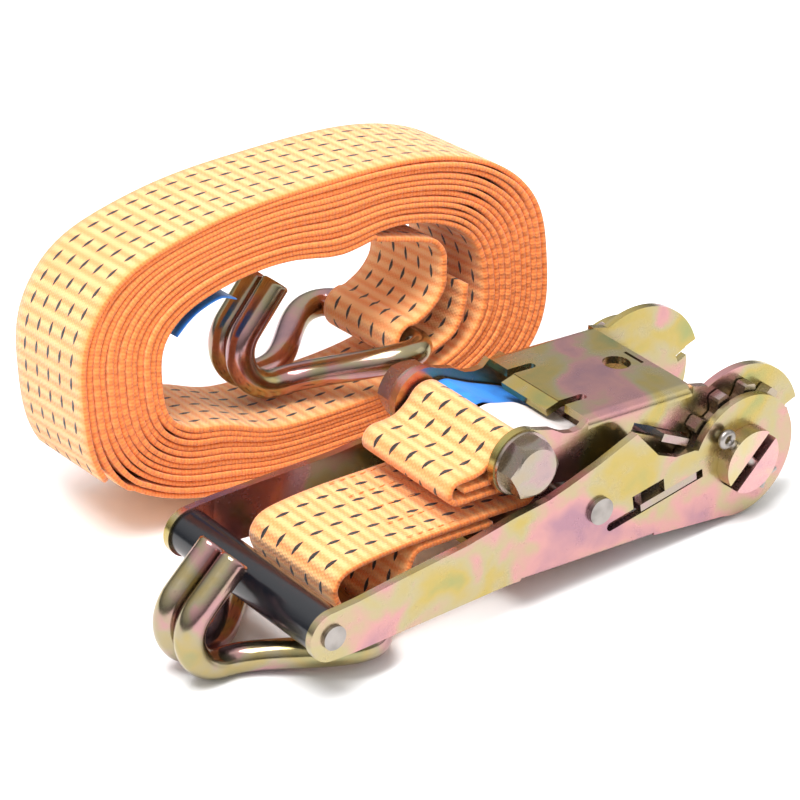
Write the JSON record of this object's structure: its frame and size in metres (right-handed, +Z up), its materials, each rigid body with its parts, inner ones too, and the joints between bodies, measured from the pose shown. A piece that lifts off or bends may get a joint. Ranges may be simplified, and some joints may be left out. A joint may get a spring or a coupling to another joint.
{
  "type": "ratchet tie down",
  "caption": "Ratchet tie down set: a closed ratchet buckle with a short hooked strap, and a long hooked strap rolled into a coil beside it.",
  "frame": {"origin": "centre of the whole set's footprint, on the surface that it stands on", "axes": "+X runs from the handle's grip to the spindle, +Y from the ratchet to the rolled strap, +Z up"},
  "size_m": [0.2646, 0.1852, 0.1202],
  "materials": {
    "zinc_yellow": "yellow passivated zinc plate with faint rainbow tints",
    "zinc_dark": "thicker, darker zinc plate",
    "spindle_zinc": "zinc plated with a green cast",
    "rivet_steel": "plain bright steel",
    "spring_steel": "dark oiled wire",
    "grip_black": "glossy black",
    "webbing": "woven polyester, matt, with rows of black marker threads",
    "label_blue": "smooth printed ribbon, blank",
    "label_white": "smooth white ribbon, blank"
  },
  "bodies": {
    "handle": {"handle_frame": "zinc_yellow", "grip_sleeve": "grip_black", "grip_rod": "rivet_steel", "cross_rod": "rivet_steel", "drive_spring_near": "spring_steel", "drive_spring_far": "spring_steel", "short_strap_eye": "webbing", "short_strap_fold": "webbing", "long_strap_coil": "webbing", "long_strap_eye": "webbing", "coil_label": "label_blue"},
    "frame": {"base_frame": "zinc_yellow", "anchor_bolt": "zinc_dark", "anchor_nut": "zinc_dark", "anchor_washer_near": "zinc_dark", "anchor_washer_far": "zinc_dark", "lock_spring": "spring_steel", "short_strap_bolt_loop": "webbing", "label_blue": "label_blue", "label_white": "label_white"},
    "spindle": {"spindle_half_upper": "spindle_zinc", "spindle_half_lower": "spindle_zinc", "ratchet_wheel_near": "zinc_dark", "ratchet_wheel_far": "zinc_dark", "cotter_pin_near": "rivet_steel", "cotter_pin_far": "rivet_steel"},
    "drive_pawl": {"drive_pawl": "zinc_dark"},
    "lock_pawl": {"lock_pawl": "zinc_dark"},
    "short_hook": {"short_hook": "zinc_yellow"},
    "long_hook": {"long_hook": "zinc_yellow"}
  },
  "joints": [
    {"name": "frame_swing", "type": "hinge", "parent": "handle", "child": "frame", "pos_m": [0.09747, -0.04786, 0.02675], "axis": [0, 1, 0], "range_deg": [0, 150]},
    {"name": "spindle_turn", "type": "hinge", "parent": "handle", "child": "spindle", "pos_m": [0.09747, -0.04786, 0.02675], "axis": [0, 1, 0], "continuous": true},
    {"name": "drive_pawl_pull", "type": "slide", "parent": "handle", "child": "drive_pawl", "axis": [-0.9898, 0, -0.1426], "range_m": [0, 0.009], "stiffness_N_per_m": 120, "springref_m": -0.01, "deforming": ["drive_spring_near", "drive_spring_far"]},
    {"name": "lock_pawl_travel", "type": "slide", "parent": "frame", "child": "lock_pawl", "axis": [0.8846, 0, -0.4664], "range_m": [0, 0.0045], "deforming": ["lock_spring"]},
    {"name": "short_hook_swing", "type": "hinge", "parent": "handle", "child": "short_hook", "pos_m": [-0.06259, -0.04686, 0.00878], "axis": [0, 1, 0], "range_deg": [0, 10]},
    {"name": "long_hook_swing", "type": "hinge", "parent": "handle", "child": "long_hook", "pos_m": [0.03563, 0.05233, 0.04281], "axis": [0.0675, 0.9905, -0.1201], "range_deg": [0, 8]}
  ]
}
